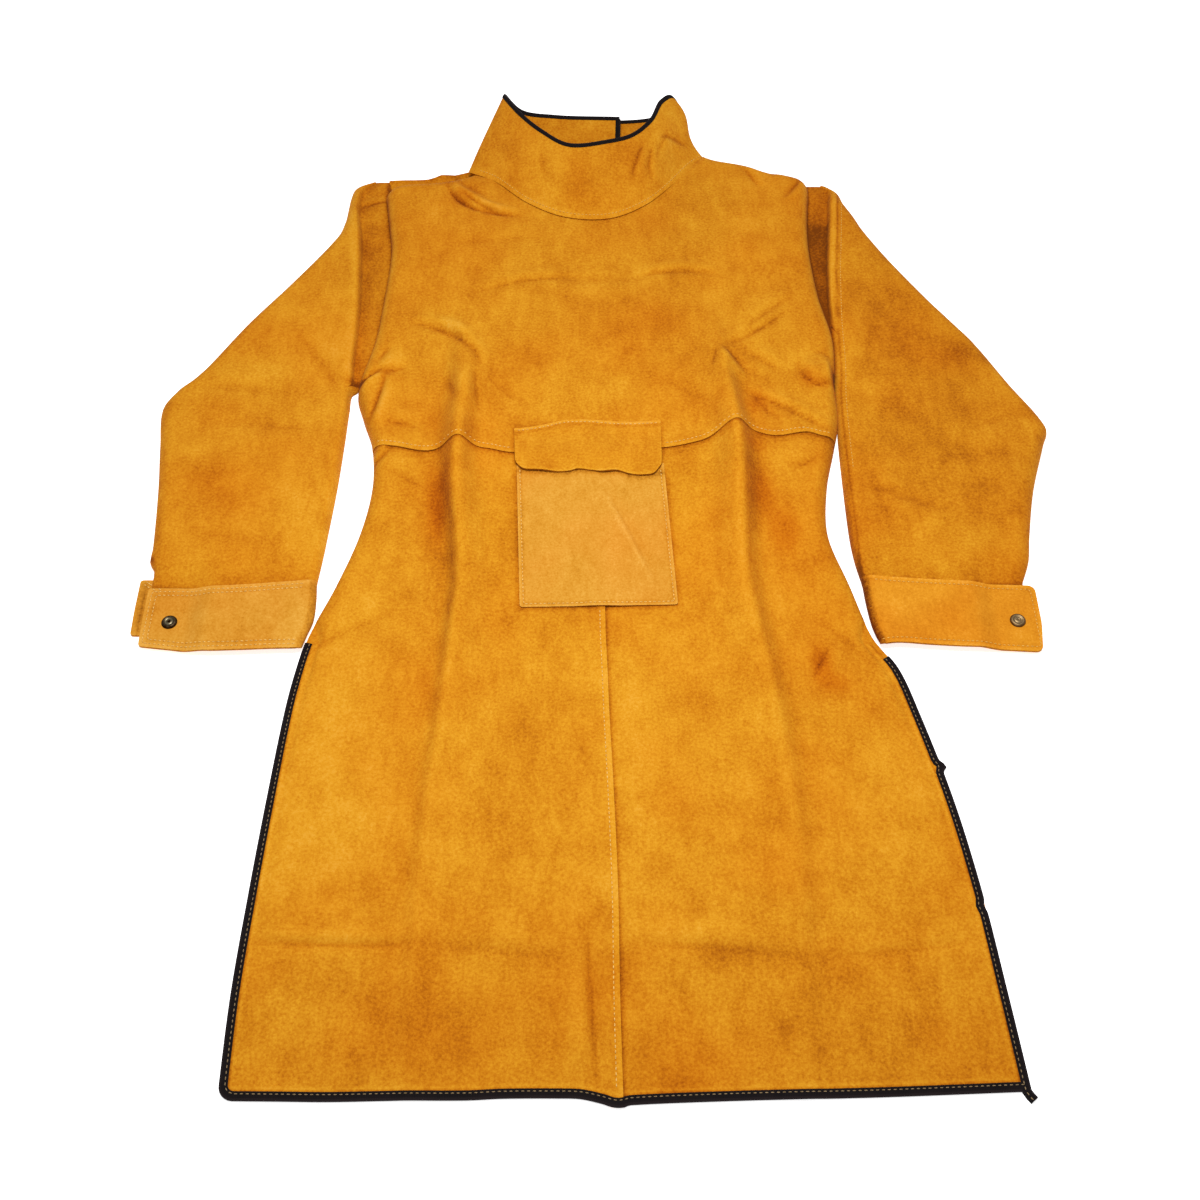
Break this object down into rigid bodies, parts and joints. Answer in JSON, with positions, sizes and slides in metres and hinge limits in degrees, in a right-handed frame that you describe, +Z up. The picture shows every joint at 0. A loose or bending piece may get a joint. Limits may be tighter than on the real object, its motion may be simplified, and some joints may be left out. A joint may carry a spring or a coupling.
{
  "type": "sleeved welding apron",
  "caption": "Split-leather welding apron with long sleeves, stand collar and buttoned cuffs, lying front up, with a flapped patch pocket, black taped edges and an open back.",
  "frame": {"origin": "on the floor under the middle of the garment's bounding box", "axes": "+Y from the hem to the collar, +X to the right as seen from the hem end, +Z up from the floor through the back to the front"},
  "size_m": [0.9278, 1.1892, 0.0632],
  "materials": {
    "suede": "golden split cowhide with a short soft nap",
    "pale_suede": "paler, tighter split cowhide with a short nap",
    "black_tape": "matt woven black tape",
    "aged_brass": "darkened brass with worn rims"
  },
  "bodies": {
    "root": {"bodice_front": "suede", "skirt_left": "suede", "skirt_right": "suede", "back_left": "suede", "back_right": "suede", "sleeve_left_upper": "suede", "sleeve_left_under": "suede", "sleeve_right_upper": "suede", "sleeve_right_under": "suede", "cuff_left": "pale_suede", "cuff_right": "pale_suede", "snap_left": "aged_brass", "snap_right": "aged_brass", "collar": "suede", "collar_binding": "black_tape", "pocket_pouch": "pale_suede", "pocket_flap": "suede", "binding_left": "black_tape", "binding_right": "black_tape", "back_binding_left": "black_tape", "back_binding_right": "black_tape"}
  },
  "joints": []
}
